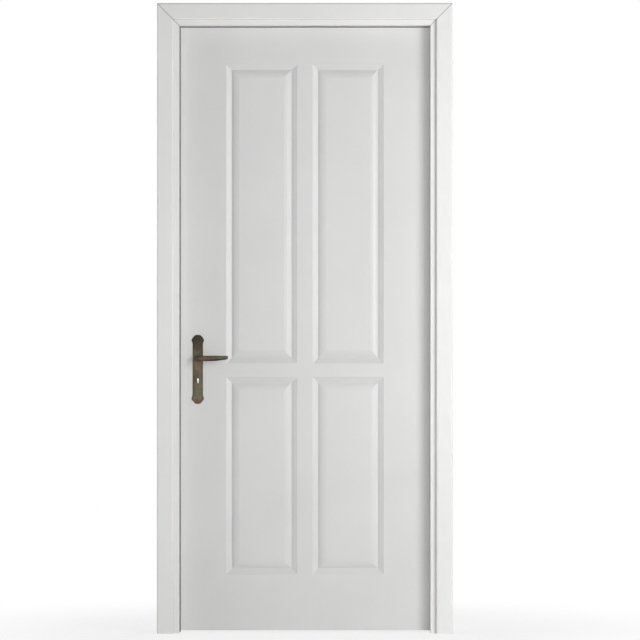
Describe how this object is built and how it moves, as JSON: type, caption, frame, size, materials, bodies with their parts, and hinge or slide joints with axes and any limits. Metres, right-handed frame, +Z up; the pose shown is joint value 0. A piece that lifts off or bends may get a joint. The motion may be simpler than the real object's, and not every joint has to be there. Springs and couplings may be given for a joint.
{
  "type": "interior door",
  "caption": "White panelled interior door in its frame with stops and architraves, with lever handles on long aged-bronze plates.",
  "frame": {"origin": "floor level, midway across the door and midway between the near architrave's face and the far lever's end", "axes": "+Z up the door, +X across it towards the hinges, -Y towards the side shown in the picture"},
  "size_m": [0.99, 0.159, 2.111],
  "materials": {
    "frame_white": "satin",
    "leaf_white": "satin",
    "softwood": "matte",
    "honeycomb": "matte",
    "seal_rubber": "matte",
    "aged_bronze": "satin",
    "steel": "satin",
    "lock_paint": "satin",
    "box_plastic": "matte"
  },
  "bodies": {
    "frame": {"head_back_casing": "frame_white", "head_front_casing": "frame_white", "head_jamb": "frame_white", "head_seal": "seal_rubber", "head_stop": "frame_white", "hinge_frame_screws": "steel", "hinge_jamb": "frame_white", "hinge_side_seal": "seal_rubber", "hinge_side_stop": "frame_white", "left_back_casing": "frame_white", "left_front_casing": "frame_white", "lock_jamb": "frame_white", "lock_side_seal": "seal_rubber", "lock_side_stop": "frame_white", "lower_hinge_frame_leaf": "steel", "lower_hinge_pin": "steel", "middle_hinge_frame_leaf": "steel", "middle_hinge_pin": "steel", "right_back_casing": "frame_white", "right_front_casing": "frame_white", "strike_box": "box_plastic", "strike_plate": "steel", "strike_screws": "steel", "upper_hinge_frame_leaf": "steel", "upper_hinge_pin": "steel"},
    "leaf": {"back_backplate": "aged_bronze", "back_skin": "leaf_white", "backplate_screws": "aged_bronze", "bottom_rail": "leaf_white", "forend": "steel", "forend_screws": "steel", "front_backplate": "aged_bronze", "front_skin": "leaf_white", "hinge_door_screws": "steel", "hinge_stile": "leaf_white", "honeycomb_core": "honeycomb", "latch_spring": "steel", "lock_block": "softwood", "lock_case": "lock_paint", "lock_stile": "leaf_white", "lower_hinge_door_leaf": "steel", "middle_hinge_door_leaf": "steel", "top_rail": "leaf_white", "upper_hinge_door_leaf": "steel"},
    "handle": {"front_lever": "aged_bronze", "back_lever": "aged_bronze", "spindle": "steel", "follower": "steel", "grub_screws": "steel"},
    "latch": {"latch_bolt": "steel"},
    "dead_bolt": {"dead_bolt": "steel"}
  },
  "joints": [
    {"name": "door_swing", "type": "hinge", "parent": "frame", "child": "leaf", "pos_m": [0.4315, 0.0315, 1.05], "axis": [0, 0, -1], "range_deg": [0, 170]},
    {"name": "handle_turn", "type": "hinge", "parent": "leaf", "child": "handle", "pos_m": [-0.36, 0.0045, 0.921], "axis": [0, 1, 0], "range_deg": [0, 40], "stiffness_Nm_per_rad": 1, "springref_deg": -28.65},
    {"name": "latch_slide", "type": "slide", "parent": "leaf", "child": "latch", "axis": [1, 0, 0], "range_m": [0, 0.012], "deforming": ["latch_spring"]},
    {"name": "dead_bolt_slide", "type": "slide", "parent": "leaf", "child": "dead_bolt", "axis": [-1, 0, 0], "range_m": [0, 0.02]}
  ],
  "couplings": [
    {"joint": "latch_slide", "follows": "handle_turn", "m_per_rad": 0.017189}
  ]
}
